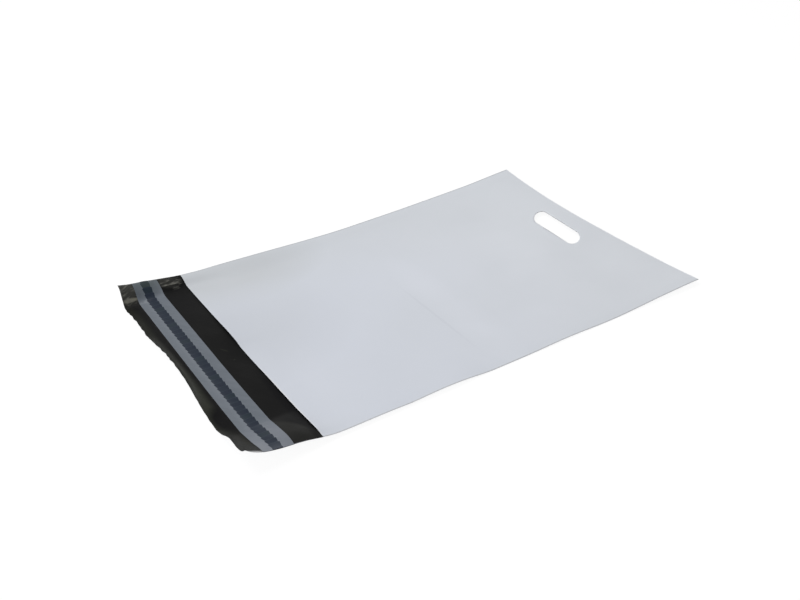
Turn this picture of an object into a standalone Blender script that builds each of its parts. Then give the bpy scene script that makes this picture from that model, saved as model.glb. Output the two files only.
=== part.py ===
"""Poly mailer bag lying flat and empty, with a carry slot, adhesive strip and release liner.

The bag is one folded web of film: a front wall, and a rear wall that runs on past the
mouth as the closing lip. Both side edges are welded and the carry end is the fold.
Every point of the film is first placed on the flat bag, as a distance along it from the
mouth and a distance across it from the centre line. film_height then lifts the point
by the curls and waves that the film has where it lies, and lying_grid draws the points
together so that the curled film keeps its length. The strip and its liner follow the
same facets, a small clearance above them.
"""

import math

import bmesh
import bpy

# The flat bag, in metres
PANEL_LENGTH = 0.480
PANEL_WIDTH = 0.350
LIP_LENGTH = 0.076
FILM_THICKNESS = 0.00007
WELD_WIDTH = 0.0015
FOLD_WIDTH = 0.0006
POCKET_GAP = 0.0003
POCKET_OPENING = 0.0008
POCKET_OPENING_FADE = 0.048
POCKET_TAPER = 0.012

# The carry slot, punched through both walls
SLOT_LENGTH = 0.088
SLOT_WIDTH = 0.0262
SLOT_TO_FOLD = 0.0462
SLOT_OFF_CENTRE = 0.0137
SLOT_SKEW = math.radians(7.5)
SLOT_ARC_STEPS = 10
SLOT_CUTTER_LOW = 0.010
SLOT_CUTTER_HIGH = 0.040

# The adhesive strip and its release liner, on the lip
LINER_TO_MOUTH = 0.0442
BEAD_TO_MOUTH = 0.0447
BEAD_WIDTH = 0.0092
BEAD_HEIGHT = 0.00035
BEAD_EDGE_HEIGHT = 0.00015
BEAD_TOOTH_DEPTH = 0.0011
BEAD_TOOTH_PITCH = 0.0075
BEAD_TOOTH_RETURN = 0.12
BEAD_END_MARGIN = 0.003
LINER_WIDTH = 0.030
LINER_THICKNESS = 0.00006
LINER_END_MARGIN = 0.0008
SEAT_CLEARANCE = 0.0002

# Grid of the film
PANEL_CELLS = 25
LIP_OUTER_CELLS = 4
LIP_MOUTH_CELLS = 3
ACROSS_CELLS = 30
EDGE_CROWDING = 0.45

# Lip, a little off the table behind the mouth
LIP_LIFT = 0.0036
LIP_LIFT_START = 0.030
LIP_LIFT_END = -0.032
MOUTH_DIP = 0.0014
MOUTH_DIP_ACROSS = -0.011
MOUTH_DIP_HALF_WIDTH = 0.055
MOUTH_DIP_ALONG = -0.006
MOUTH_DIP_HALF_LENGTH = 0.030

# Outer margin of the lip, past the liner, curled up in three places
MARGIN_START = -0.0598
MARGIN_CURLS = (
    # place across the bag, half length, height of the free edge
    (-0.002, 0.118, 0.0089),
    (0.110, 0.039, 0.0031),
    (-0.139, 0.032, 0.0058),
)

# Curled far side edge
FAR_EDGE_LIFT = 0.0009
FAR_EDGE_REACH = 0.034
FAR_LIP_LIFT = 0.0063
FAR_LIP_FADE = 0.230
FAR_LIP_REACH = 0.030
FAR_LIP_REACH_LENGTH = 0.030
FAR_MOUTH_REACH = 0.022
FAR_MOUTH_REACH_LENGTH = 0.080
FAR_TIP_LIFT = 0.0131
FAR_TIP_POWER = 1.75
FAR_FOLD_LIFT = 0.0104
FAR_FOLD_FADE = 0.295
FAR_FOLD_POWER = 1.48
FAR_FOLD_REACH = 0.227
FAR_FOLD_SPREAD = 0.280

# Fold end and near side edge
FOLD_LIFT = 0.0019
FOLD_LIFT_FADE = 0.080
FOLD_DRAW = 0.0039
FOLD_DRAW_REACH = 0.220
NEAR_FOLD_LIFT = 0.0029
NEAR_FOLD_REACH = 0.157
NEAR_FOLD_START = 0.130
NEAR_FOLD_END = 0.050
NEAR_WAVES = (
    # place along the bag, half length, height
    (0.141, 0.053, 0.0033),
    (0.287, 0.052, 0.0011),
)
NEAR_WAVE_REACH = 0.090
NEAR_LIP_LIFT = 0.0031
NEAR_LIP_START = 0.150
NEAR_LIP_END = 0.060
NEAR_LIP_REACH = 0.140
NEAR_STEP_LIFT = 0.0014
NEAR_STEP_START = 0.0065
NEAR_STEP_LENGTH = 0.024
NEAR_DROOP = 0.0026
NEAR_DROOP_REACH = 0.018
NEAR_DROOP_ALONG = -0.022
NEAR_DROOP_HALF_LENGTH = 0.030

# Bent near corner of the lip, past a crease that runs from the lip's edge to the mouth
CREASE_EDGE_INSET = 0.0485
CREASE_MOUTH_INSET = 0.0523
CREASE_LIFT = 0.0054
CREASE_REACH = 0.063
CREASE_FADE_START = -0.030
CREASE_FADE_LENGTH = 0.045
CORNER_LIFT = 0.0105
CORNER_REACH = 0.035

# Front wall, open a little wider at the mouth where the film buckles
MOUTH_LIFT = 0.0016
MOUTH_LIFT_START = 0.085
MOUTH_LIFT_RISE = 0.060
MOUTH_LIFT_END = 0.172
MOUTH_LIFT_DROP = 0.016
MOUTH_LIFT_FADE = 0.060

# Soft rise of both walls round the carry slot
SLOT_RISE = 0.0046
SLOT_RISE_TO_FOLD = 0.058
SLOT_RISE_ACROSS = -0.030
SLOT_RISE_HALF_LENGTH = 0.095
SLOT_RISE_HALF_WIDTH = 0.130

LEAST_DRAWN = 0.6
SHARP_ANGLE = math.radians(35.0)


def ease(share):
    """Smooth step: 0 below 0, 1 above 1."""
    share = min(max(share, 0.0), 1.0)
    return share * share * (3.0 - 2.0 * share)


def swell(share):
    """Smooth hump: 1 at 0, and 0 from 1 outwards on either side."""
    share = min(abs(share), 1.0)
    return (1.0 - share * share) ** 2


def fade(distance, reach):
    """Curve of a lifted edge: 1 on the edge, 0 from the reach onwards."""
    return max(0.0, 1.0 - distance / reach) ** 2


def lip_lift(along, across):
    """Lip raised off the table, with its outer margin curled up and a dip at the mouth."""
    length = LIP_LIFT_START - LIP_LIFT_END
    height = LIP_LIFT * ease((LIP_LIFT_START - along) / length)
    run = max(0.0, (MARGIN_START - along) / (MARGIN_START + LIP_LENGTH))
    for place, half_length, lift in MARGIN_CURLS:
        height += lift * run * run * swell((across - place) / half_length)
    dip = swell((along - MOUTH_DIP_ALONG) / MOUTH_DIP_HALF_LENGTH)
    return height - MOUTH_DIP * dip * swell((across - MOUTH_DIP_ACROSS) / MOUTH_DIP_HALF_WIDTH)


def far_edge_curl(along, from_far):
    to_fold = PANEL_LENGTH - along
    lift = FAR_LIP_LIFT * ease(1.0 - along / FAR_LIP_FADE)
    lift += FAR_TIP_LIFT * (max(0.0, -along) / LIP_LENGTH) ** FAR_TIP_POWER
    reach = FAR_MOUTH_REACH
    reach += (FAR_LIP_REACH - FAR_MOUTH_REACH) * ease(-along / FAR_LIP_REACH_LENGTH)
    reach += (FAR_EDGE_REACH - FAR_MOUTH_REACH) * ease(along / FAR_MOUTH_REACH_LENGTH)
    height = lift * swell(from_far / reach)
    lift = FAR_EDGE_LIFT
    lift += FAR_FOLD_LIFT * max(0.0, 1.0 - to_fold / FAR_FOLD_FADE) ** FAR_FOLD_POWER
    spread = ease(1.0 - to_fold / FAR_FOLD_SPREAD)
    reach = FAR_EDGE_REACH + (FAR_FOLD_REACH - FAR_EDGE_REACH) * spread
    return height + lift * fade(from_far, reach)


def fold_end_lift(along):
    return FOLD_LIFT * ease(1.0 - (PANEL_LENGTH - along) / FOLD_LIFT_FADE)


def near_edge_waves(along, from_near):
    to_fold = PANEL_LENGTH - along
    corner = ease((NEAR_FOLD_START - to_fold) / (NEAR_FOLD_START - NEAR_FOLD_END))
    height = NEAR_FOLD_LIFT * corner * fade(from_near, NEAR_FOLD_REACH)
    for place, half_length, lift in NEAR_WAVES:
        height += lift * swell((along - place) / half_length) * fade(from_near, NEAR_WAVE_REACH)
    lift = NEAR_LIP_LIFT * ease((NEAR_LIP_START - along) / (NEAR_LIP_START - NEAR_LIP_END))
    lift += NEAR_STEP_LIFT * ease((NEAR_STEP_START - along) / NEAR_STEP_LENGTH)
    droop = NEAR_DROOP * swell((along - NEAR_DROOP_ALONG) / NEAR_DROOP_HALF_LENGTH)
    return (height + lift * fade(from_near, NEAR_LIP_REACH)
            - droop * fade(from_near, NEAR_DROOP_REACH))


def bent_corner(along, from_near):
    """Rise past the crease, measured square to the crease line, and the tip of the corner."""
    run = CREASE_EDGE_INSET - CREASE_MOUTH_INSET
    length = math.hypot(run, LIP_LENGTH)
    past = ((CREASE_MOUTH_INSET - from_near) * LIP_LENGTH - along * run) / length
    left = 1.0 - min(max(past / CREASE_REACH, 0.0), 1.0)
    kept = 1.0 - ease((along - CREASE_FADE_START) / CREASE_FADE_LENGTH)
    to_corner = math.hypot(along + LIP_LENGTH, from_near)
    return CREASE_LIFT * (1.0 - left * left) * kept + CORNER_LIFT * fade(to_corner, CORNER_REACH)


def slot_rise(along, across):
    place = PANEL_LENGTH - SLOT_RISE_TO_FOLD
    lengthwise = swell((along - place) / SLOT_RISE_HALF_LENGTH)
    return SLOT_RISE * lengthwise * swell((across - SLOT_RISE_ACROSS) / SLOT_RISE_HALF_WIDTH)


def film_height(along, across):
    """Height of the rear wall's underside above the table."""
    from_far = PANEL_WIDTH / 2.0 - across
    from_near = PANEL_WIDTH / 2.0 + across
    height = lip_lift(along, across)
    height += far_edge_curl(along, from_far)
    height += fold_end_lift(along)
    height += near_edge_waves(along, from_near)
    height += bent_corner(along, from_near)
    return height + slot_rise(along, across)


def evenly(start, end, cells):
    """Stations from start up to, and without, end."""
    return [start + (end - start) * step / cells for step in range(cells)]


def along_stations():
    """Film rows from the lip's edge to the fold, with one row under each edge of the strip."""
    liner_outer = -LINER_TO_MOUTH - LINER_WIDTH / 2.0
    liner_inner = -LINER_TO_MOUTH + LINER_WIDTH / 2.0
    bead_edge = BEAD_WIDTH / 2.0
    rows = evenly(-LIP_LENGTH, liner_outer, LIP_OUTER_CELLS)
    rows += [liner_outer]
    rows += [-BEAD_TO_MOUTH + shift for shift in (-bead_edge, 0.0, bead_edge)]
    rows += evenly(liner_inner, 0.0, LIP_MOUTH_CELLS)
    rows += evenly(0.0, PANEL_LENGTH - FOLD_WIDTH, PANEL_CELLS)
    return rows + [PANEL_LENGTH - FOLD_WIDTH, PANEL_LENGTH]


def across_stations():
    """Film columns from the near side to the far side, closer together near the welds."""
    half = PANEL_WIDTH / 2.0
    inner = half - WELD_WIDTH
    columns = [-half]
    for step in range(ACROSS_CELLS + 1):
        share = step / ACROSS_CELLS
        crowded = (1.0 - math.cos(math.pi * share)) / 2.0
        columns.append(inner * (2.0 * ((1.0 - EDGE_CROWDING) * share + EDGE_CROWDING * crowded) - 1.0))
    return columns + [half]


def drawn_in(stations, heights):
    """Stations drawn together so that the film keeps its length over the given heights."""
    middle = len(stations) // 2
    drawn = list(stations)
    for step in (1, -1):
        last = len(stations) - 1 if step == 1 else 0
        for index in range(middle, last, step):
            flat = stations[index + step] - stations[index]
            rise = heights[index + step] - heights[index]
            kept = max(flat * flat - rise * rise, (LEAST_DRAWN * flat) ** 2)
            drawn[index + step] = drawn[index] + step * math.sqrt(kept)
    return drawn


def fold_draw(along, across):
    """Length that the rise round the slot takes from the middle of the fold end."""
    share = across / (PANEL_WIDTH / 2.0)
    return FOLD_DRAW * (1.0 - share * share) * ease(1.0 - (PANEL_LENGTH - along) / FOLD_DRAW_REACH)


def lying_grid():
    """Point of each row and column of the film as it lies."""
    heights = [[film_height(along, across) for across in ACROSS] for along in ALONG]
    rows = [drawn_in(ACROSS, line) for line in heights]
    columns = [drawn_in(ALONG, line) for line in zip(*heights)]
    points = []
    for row, along in enumerate(ALONG):
        points.append([])
        for column, across in enumerate(ACROSS):
            x = columns[column][row] - fold_draw(along, across)
            points[-1].append((x, rows[row][column], heights[row][column]))
    return points


ALONG = along_stations()
ACROSS = across_stations()
MOUTH_ROW = ALONG.index(0.0)
POINTS = lying_grid()


def cell_of(stations, place):
    """Index of the station cell that holds a place, and the share of the cell behind it."""
    index = 0
    while index < len(stations) - 2 and stations[index + 1] <= place:
        index += 1
    return index, (place - stations[index]) / (stations[index + 1] - stations[index])


def lying_point(along, across, lift):
    """Point over the faceted film, whose cells are split from their low to their high corner."""
    row, u = cell_of(ALONG, along)
    column, v = cell_of(ACROSS, across)
    low = POINTS[row][column]
    high = POINTS[row + 1][column + 1]
    corner = POINTS[row + 1][column] if u > v else POINTS[row][column + 1]
    shares = (1.0 - max(u, v), abs(u - v), min(u, v))
    point = [sum(share * place[axis] for share, place in zip(shares, (low, corner, high)))
             for axis in range(3)]
    return point[0], point[1], point[2] + lift


def mouth_lift(along, from_far):
    lift = MOUTH_LIFT * ease((from_far - MOUTH_LIFT_START) / MOUTH_LIFT_RISE)
    lift *= ease((MOUTH_LIFT_END - from_far) / MOUTH_LIFT_DROP)
    return lift * fade(max(along, 0.0), MOUTH_LIFT_FADE)


def pocket_gap(along, across):
    """Space between the two walls, closing to nothing at the welds and the fold."""
    to_weld = PANEL_WIDTH / 2.0 - WELD_WIDTH - abs(across)
    to_fold = PANEL_LENGTH - FOLD_WIDTH - along
    opening = POCKET_OPENING * ease(1.0 - along / POCKET_OPENING_FADE)
    opening += mouth_lift(along, PANEL_WIDTH / 2.0 - across)
    gap = (POCKET_GAP + opening) * ease(to_weld / POCKET_TAPER)
    return gap * ease(to_fold / POCKET_TAPER)


class Layer:
    """Grid of vertices a given height above the film's underside."""

    def __init__(self, bm, rows, columns, offset):
        self.vertices = {}
        for row in rows:
            for column in columns:
                x, y, z = POINTS[row][column]
                lifted = z + offset(ALONG[row], ACROSS[column])
                self.vertices[row, column] = bm.verts.new((x, y, lifted))

    def cell(self, row, column):
        corners = ((row, column), (row + 1, column), (row + 1, column + 1), (row, column + 1))
        return [self.vertices[corner] for corner in corners]


def add_cell(bm, corners, up, material):
    """Two triangles that share the diagonal from the first corner to the third."""
    first, second, third, fourth = corners
    triangles = ((first, second, third), (first, third, fourth))
    for triangle in triangles:
        face = bm.faces.new(triangle if up else triangle[::-1])
        face.material_index = material


def add_pocket_cell(bm, floor, roof):
    """Floor and roof of one pocket cell, left out where all three corners are welded."""
    for first, second, third in ((0, 1, 2), (0, 2, 3)):
        below = (floor[first], floor[second], floor[third])
        above = (roof[third], roof[second], roof[first])
        if set(below) != set(above):
            for triangle in (below, above):
                face = bm.faces.new(triangle)
                face.material_index = 1


def add_strip(bm, lower, upper, material):
    """Wall of quads between two rows of vertices, facing right of their direction."""
    for index in range(len(lower) - 1):
        ring = []
        for vertex in (lower[index], lower[index + 1], upper[index + 1], upper[index]):
            if vertex not in ring:
                ring.append(vertex)
        if len(ring) > 2:
            face = bm.faces.new(ring)
            face.material_index = material


def finish_mesh(bm, name, parent, materials):
    mesh = bpy.data.meshes.new(name)
    bmesh.ops.recalc_face_normals(bm, faces=bm.faces)
    bm.to_mesh(mesh)
    bm.free()
    for material in materials:
        mesh.materials.append(material)
    mesh.shade_smooth()
    mesh.set_sharp_from_angle(angle=SHARP_ANGLE)
    obj = bpy.data.objects.new(name, mesh)
    bpy.context.collection.objects.link(obj)
    obj.parent = parent
    return obj


def build_film(parent, outside, inside):
    """One closed skin: both outer faces, the pocket between them and the lip."""
    bm = bmesh.new()
    last_row = len(ALONG) - 1
    last_column = len(ACROSS) - 1
    all_rows = range(last_row + 1)
    all_columns = range(last_column + 1)
    pocket_rows = range(MOUTH_ROW, last_row)
    pocket_columns = range(1, last_column)
    panel_rows = range(MOUTH_ROW, last_row + 1)

    under = Layer(bm, all_rows, all_columns, lambda along, across: 0.0)
    over = Layer(bm, panel_rows, all_columns,
                 lambda along, across: 2.0 * FILM_THICKNESS + pocket_gap(along, across))
    lip_top = Layer(bm, range(MOUTH_ROW + 1), all_columns, lambda along, across: FILM_THICKNESS)
    pocket_floor = Layer(bm, range(MOUTH_ROW + 1, last_row), pocket_columns,
                         lambda along, across: FILM_THICKNESS)
    for column in pocket_columns:
        pocket_floor.vertices[MOUTH_ROW, column] = lip_top.vertices[MOUTH_ROW, column]
    open_rows = range(MOUTH_ROW, last_row - 1)
    open_columns = range(2, last_column - 1)
    pocket_roof = Layer(bm, open_rows, open_columns,
                        lambda along, across: FILM_THICKNESS + pocket_gap(along, across))
    for row in pocket_rows:
        for column in pocket_columns:
            if (row, column) not in pocket_roof.vertices:
                pocket_roof.vertices[row, column] = pocket_floor.vertices[row, column]

    for row in range(last_row):
        for column in range(last_column):
            add_cell(bm, under.cell(row, column), False, 0)
            if row >= MOUTH_ROW:
                add_cell(bm, over.cell(row, column), True, 0)
            else:
                add_cell(bm, lip_top.cell(row, column), True, 1)
    for row in range(MOUTH_ROW, last_row - 1):
        for column in range(1, last_column - 1):
            add_pocket_cell(bm, pocket_floor.cell(row, column), pocket_roof.cell(row, column))

    for column in (0, last_column):
        lower = [under.vertices[row, column] for row in range(MOUTH_ROW + 1)]
        upper = [lip_top.vertices[row, column] for row in range(MOUTH_ROW + 1)]
        add_strip(bm, lower, upper, 0)
        lower = [under.vertices[row, column] for row in panel_rows]
        upper = [over.vertices[row, column] for row in panel_rows]
        bm.faces.new([lower[0], lower[1], upper[1], upper[0], lip_top.vertices[MOUTH_ROW, column]])
        add_strip(bm, lower[1:], upper[1:], 0)
    add_strip(bm, [under.vertices[0, column] for column in all_columns],
              [lip_top.vertices[0, column] for column in all_columns], 0)
    add_strip(bm, [under.vertices[last_row, column] for column in all_columns],
              [over.vertices[last_row, column] for column in all_columns], 0)
    mouth_edge = [lip_top.vertices[MOUTH_ROW, 0]]
    mouth_edge += [pocket_roof.vertices[MOUTH_ROW, column] for column in pocket_columns]
    mouth_edge.append(lip_top.vertices[MOUTH_ROW, last_column])
    add_strip(bm, mouth_edge, [over.vertices[MOUTH_ROW, column] for column in all_columns], 0)
    return finish_mesh(bm, "film_bag", parent, (outside, inside))


def cut_slot(film, parent):
    """Stadium punched straight down through both walls."""
    bm = bmesh.new()
    radius = SLOT_WIDTH / 2.0
    straight = SLOT_LENGTH / 2.0 - radius
    ring = []
    for side in (1.0, -1.0):
        for step in range(SLOT_ARC_STEPS + 1):
            angle = math.pi * step / SLOT_ARC_STEPS
            ring.append(bm.verts.new((side * radius * math.cos(angle),
                                      side * (straight + radius * math.sin(angle)), 0.0)))
    face = bm.faces.new(ring)
    extruded = bmesh.ops.extrude_face_region(bm, geom=[face])
    top = [item for item in extruded["geom"] if isinstance(item, bmesh.types.BMVert)]
    bmesh.ops.translate(bm, verts=top, vec=(0.0, 0.0, SLOT_CUTTER_LOW + SLOT_CUTTER_HIGH))
    cutter = finish_mesh(bm, "slot_cutter", parent, ())
    cutter.location = (PANEL_LENGTH - SLOT_TO_FOLD, SLOT_OFF_CENTRE, -SLOT_CUTTER_LOW)
    cutter.rotation_euler = (0.0, 0.0, -SLOT_SKEW)
    cutter.hide_render = True
    cutter.display_type = "WIRE"
    cut = film.modifiers.new("carry_slot", "BOOLEAN")
    cut.operation = "DIFFERENCE"
    cut.solver = "EXACT"
    cut.object = cutter


def add_ribbon(bm, columns, rows_at, low_at, high_at):
    """Closed ribbon along the mouth, with its rows, underside and top given column by column."""
    low = []
    high = []
    for across in columns:
        rows = rows_at(across)
        low.append([])
        high.append([])
        for index, along in enumerate(rows):
            low[-1].append(bm.verts.new(lying_point(along, across, low_at(index))))
            high[-1].append(bm.verts.new(lying_point(along, across, high_at(index))))
    for column in range(len(columns) - 1):
        for row in range(len(low[0]) - 1):
            corners = ((column, row), (column, row + 1), (column + 1, row + 1), (column + 1, row))
            add_cell(bm, [low[c][r] for c, r in corners], False, 0)
            add_cell(bm, [high[c][r] for c, r in corners], True, 0)
    for row in (0, -1):
        add_strip(bm, [line[row] for line in low], [line[row] for line in high], 0)
    for column in (0, -1):
        add_strip(bm, low[column], high[column], 0)


def film_columns_between(first, last, extra):
    inside = [place for place in list(ACROSS) + extra if first < place < last]
    return [first] + sorted(set(inside)) + [last]


def build_adhesive(parent, material):
    """Hot-melt bead, thicker along its middle, with small teeth along both edges."""
    half = PANEL_WIDTH / 2.0 - BEAD_END_MARGIN
    teeth = int(2.0 * half / BEAD_TOOTH_PITCH)
    pitch = 2.0 * half / teeth
    notches = [-half + pitch * index for index in range(1, teeth)]
    shoulders = [notch - pitch * BEAD_TOOTH_RETURN for notch in notches]
    columns = film_columns_between(-half, half, notches + shoulders)

    def rows_at(across):
        share = (across + half) / pitch % 1.0
        rise = share / (1.0 - BEAD_TOOTH_RETURN)
        depth = BEAD_TOOTH_DEPTH * min(rise, (1.0 - share) / BEAD_TOOTH_RETURN)
        edge = BEAD_WIDTH / 2.0 + depth
        return (-BEAD_TO_MOUTH - edge, -BEAD_TO_MOUTH, -BEAD_TO_MOUTH + edge)

    tops = (BEAD_EDGE_HEIGHT, BEAD_HEIGHT, BEAD_EDGE_HEIGHT)
    bm = bmesh.new()
    add_ribbon(bm, columns, rows_at, lambda index: FILM_THICKNESS + SEAT_CLEARANCE,
               lambda index: FILM_THICKNESS + SEAT_CLEARANCE + tops[index])
    return finish_mesh(bm, "adhesive_strip", parent, (material,))


def build_liner(parent, material):
    """Thin release liner that bows over the bead and comes down to the film on either side."""
    half = PANEL_WIDTH / 2.0 - LINER_END_MARGIN
    columns = film_columns_between(-half, half, [])
    bead_half = BEAD_WIDTH / 2.0 + BEAD_TOOTH_DEPTH
    rows = [-BEAD_TO_MOUTH + shift for shift in (-bead_half, 0.0, bead_half)]
    rows = [-LINER_TO_MOUTH - LINER_WIDTH / 2.0] + rows + [-LINER_TO_MOUTH + LINER_WIDTH / 2.0]
    over_bead = FILM_THICKNESS + 2.0 * SEAT_CLEARANCE
    lifts = (FILM_THICKNESS + SEAT_CLEARANCE, over_bead + BEAD_EDGE_HEIGHT, over_bead + BEAD_HEIGHT,
             over_bead + BEAD_EDGE_HEIGHT, FILM_THICKNESS + SEAT_CLEARANCE)
    bm = bmesh.new()
    add_ribbon(bm, columns, lambda across: rows, lambda index: lifts[index],
               lambda index: lifts[index] + LINER_THICKNESS)
    return finish_mesh(bm, "release_liner", parent, (material,))


def middle_of(axis):
    places = [point[axis] for line in POINTS for point in line]
    return (min(places) + max(places)) / 2.0


def make_material(name, colour, roughness):
    material = bpy.data.materials.new(name)
    material.use_nodes = True
    shader = material.node_tree.nodes["Principled BSDF"]
    shader.inputs["Base Color"].default_value = (*colour, 1.0)
    shader.inputs["Roughness"].default_value = roughness
    shader.inputs["Metallic"].default_value = 0.0
    material.diffuse_color = (*colour, 1.0)
    return material


def remove_scene_objects():
    for obj in list(bpy.data.objects):
        bpy.data.objects.remove(obj)


def main():
    remove_scene_objects()
    outside = make_material("film_outside", (0.62, 0.64, 0.68), 0.42)
    inside = make_material("film_inside", (0.014, 0.014, 0.014), 0.28)
    glue = make_material("hot_melt_glue", (0.035, 0.045, 0.060), 0.35)
    liner = make_material("liner_film", (0.20, 0.22, 0.25), 0.40)

    frame = bpy.data.objects.new("bag_frame", None)
    bpy.context.collection.objects.link(frame)
    frame.location = (-middle_of(0), -middle_of(1), 0.0)

    film = build_film(frame, outside, inside)
    cut_slot(film, frame)
    build_adhesive(frame, glue)
    build_liner(frame, liner)
    bpy.context.view_layer.update()


main()
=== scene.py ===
"""Dressed scene of an empty poly mailer bag with a carry slot, lying flat on a pale floor.

The film is placed as in the CAD part: each point of the flat bag is a distance along it
from the mouth and a distance across it from the centre line, and a height function lifts
it. The same large curls and waves are used here, on a finer grid, with one faint crease,
slow ripples, the slightly open mouth and the lip's ragged edge added on top. Lengths are
in metres, angles in degrees where a name or comment says so, and colours are linear.
"""

import math

import bmesh
import bpy
from mathutils import Matrix, Vector, noise


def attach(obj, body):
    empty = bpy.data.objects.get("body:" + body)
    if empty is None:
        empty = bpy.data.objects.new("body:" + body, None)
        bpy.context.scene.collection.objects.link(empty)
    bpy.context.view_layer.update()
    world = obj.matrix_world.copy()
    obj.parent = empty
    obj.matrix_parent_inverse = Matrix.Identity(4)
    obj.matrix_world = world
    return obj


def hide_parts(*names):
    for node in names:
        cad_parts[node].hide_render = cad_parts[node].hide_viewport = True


# The flat bag
PANEL_LENGTH = 0.480
PANEL_WIDTH = 0.350
LIP_LENGTH = 0.076
FILM_THICKNESS = 0.00007
WELD_WIDTH = 0.0015
FOLD_WIDTH = 0.0006
POCKET_GAP = 0.0003
POCKET_OPENING = 0.0008
POCKET_OPENING_FADE = 0.048
POCKET_TAPER = 0.012

# The carry slot, turned and moved a little from the CAD part's to follow the photo
SLOT_LENGTH = 0.088
SLOT_WIDTH = 0.0262
SLOT_TO_FOLD = 0.0462
SLOT_OFF_CENTRE = 0.0147
SLOT_SKEW = math.radians(4.0)
SLOT_ARC_STEPS = 24
SLOT_TOOL_LOW = -0.01
SLOT_TOOL_HEIGHT = 0.05
# Share by which the slot's ends lean, as the raised film shows them in the photo
SLOT_LEAN = 0.6

# The adhesive strip and its release liner
LINER_TO_MOUTH = 0.0442
BEAD_TO_MOUTH = 0.0447
BEAD_WIDTH = 0.0092
BEAD_HEIGHT = 0.00035
BEAD_EDGE_HEIGHT = 0.00015
BEAD_TOOTH_DEPTH = 0.0011
BEAD_TOOTH_PITCH = 0.0075
BEAD_TOOTH_RETURN = 0.12
BEAD_END_MARGIN = 0.003
# Rows across the bead as shares of its half width, and its height over each row
BEAD_ROWS = (-1.0, -0.9, -0.5, 0.0, 0.5, 0.9, 1.0)
BEAD_TOPS = (BEAD_EDGE_HEIGHT * 0.3, BEAD_EDGE_HEIGHT, BEAD_HEIGHT * 0.9, BEAD_HEIGHT,
             BEAD_HEIGHT * 0.9, BEAD_EDGE_HEIGHT, BEAD_EDGE_HEIGHT * 0.3)
BEAD_HALF_LENGTH = PANEL_WIDTH / 2.0 - BEAD_END_MARGIN
BEAD_TEETH = int(2.0 * BEAD_HALF_LENGTH / BEAD_TOOTH_PITCH)
BEAD_PITCH = 2.0 * BEAD_HALF_LENGTH / BEAD_TEETH
LINER_WIDTH = 0.030
LINER_THICKNESS = 0.00006
LINER_END_MARGIN = 0.0002
SEAT_CLEARANCE = 0.0002

# Grid of the film
PANEL_CELLS = 140
LIP_CELLS = 38
ACROSS_CELLS = 136
RIBBON_CELLS = 240
LEAST_COLUMN = 0.0002

# Large forms, as in the CAD part

# Lip, a little off the table behind the mouth
LIP_LIFT = 0.0036
LIP_LIFT_START = 0.030
LIP_LIFT_END = -0.032
MOUTH_DIP = 0.0014
MOUTH_DIP_ACROSS = -0.011
MOUTH_DIP_HALF_WIDTH = 0.055
MOUTH_DIP_ALONG = -0.006
MOUTH_DIP_HALF_LENGTH = 0.030

# Outer margin of the lip, past the liner, curled up in three places
MARGIN_START = -0.0598
MARGIN_CURLS = (
    # place across the bag, half length, height of the free edge
    (-0.002, 0.118, 0.0089),
    (0.110, 0.039, 0.0031),
    (-0.139, 0.032, 0.0058),
)

# Curled far side edge
FAR_EDGE_LIFT = 0.0009
FAR_EDGE_REACH = 0.034
FAR_LIP_LIFT = 0.0063
FAR_LIP_FADE = 0.230
FAR_LIP_REACH = 0.030
FAR_LIP_REACH_LENGTH = 0.030
FAR_MOUTH_REACH = 0.022
FAR_MOUTH_REACH_LENGTH = 0.080
FAR_TIP_LIFT = 0.0131
FAR_TIP_POWER = 1.75
FAR_FOLD_LIFT = 0.0104
FAR_FOLD_FADE = 0.295
FAR_FOLD_POWER = 1.48
FAR_FOLD_REACH = 0.227
FAR_FOLD_SPREAD = 0.280

# Fold end and near side edge
FOLD_LIFT = 0.0019
FOLD_LIFT_FADE = 0.080
FOLD_DRAW = 0.0039
FOLD_DRAW_REACH = 0.220
NEAR_FOLD_LIFT = 0.0029
NEAR_FOLD_REACH = 0.157
NEAR_FOLD_START = 0.130
NEAR_FOLD_END = 0.050
NEAR_WAVES = (
    # place along the bag, half length, height
    (0.141, 0.053, 0.0033),
    (0.287, 0.052, 0.0011),
)
NEAR_WAVE_REACH = 0.090
NEAR_LIP_LIFT = 0.0031
NEAR_LIP_START = 0.150
NEAR_LIP_END = 0.060
NEAR_LIP_REACH = 0.140
NEAR_STEP_LIFT = 0.0014
NEAR_STEP_START = 0.0065
NEAR_STEP_LENGTH = 0.024
NEAR_DROOP = 0.0026
NEAR_DROOP_REACH = 0.018
NEAR_DROOP_ALONG = -0.022
NEAR_DROOP_HALF_LENGTH = 0.030

# Bent near corner of the lip, past a crease that runs from the lip's edge to the mouth
CREASE_EDGE_INSET = 0.0485
CREASE_MOUTH_INSET = 0.0523
CREASE_LIFT = 0.0054
CREASE_REACH = 0.063
CREASE_FADE_START = -0.030
CREASE_FADE_LENGTH = 0.045
CORNER_LIFT = 0.0105
CORNER_REACH = 0.035

# Front wall, open a little wider at the mouth where the film buckles
MOUTH_LIFT = 0.0016
MOUTH_LIFT_START = 0.085
MOUTH_LIFT_RISE = 0.060
MOUTH_LIFT_END = 0.172
MOUTH_LIFT_DROP = 0.016
MOUTH_LIFT_FADE = 0.060

# Soft rise of both walls round the carry slot
SLOT_RISE = 0.0046
SLOT_RISE_TO_FOLD = 0.058
SLOT_RISE_ACROSS = -0.030
SLOT_RISE_HALF_LENGTH = 0.095
SLOT_RISE_HALF_WIDTH = 0.130

# Faint crease of the panel: place along and across the bag, direction in degrees from the
# bag's length, half length, half width, height
PANEL_CREASE = (0.150, -0.010, -58.0, 0.060, 0.0080, 0.00030)

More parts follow.
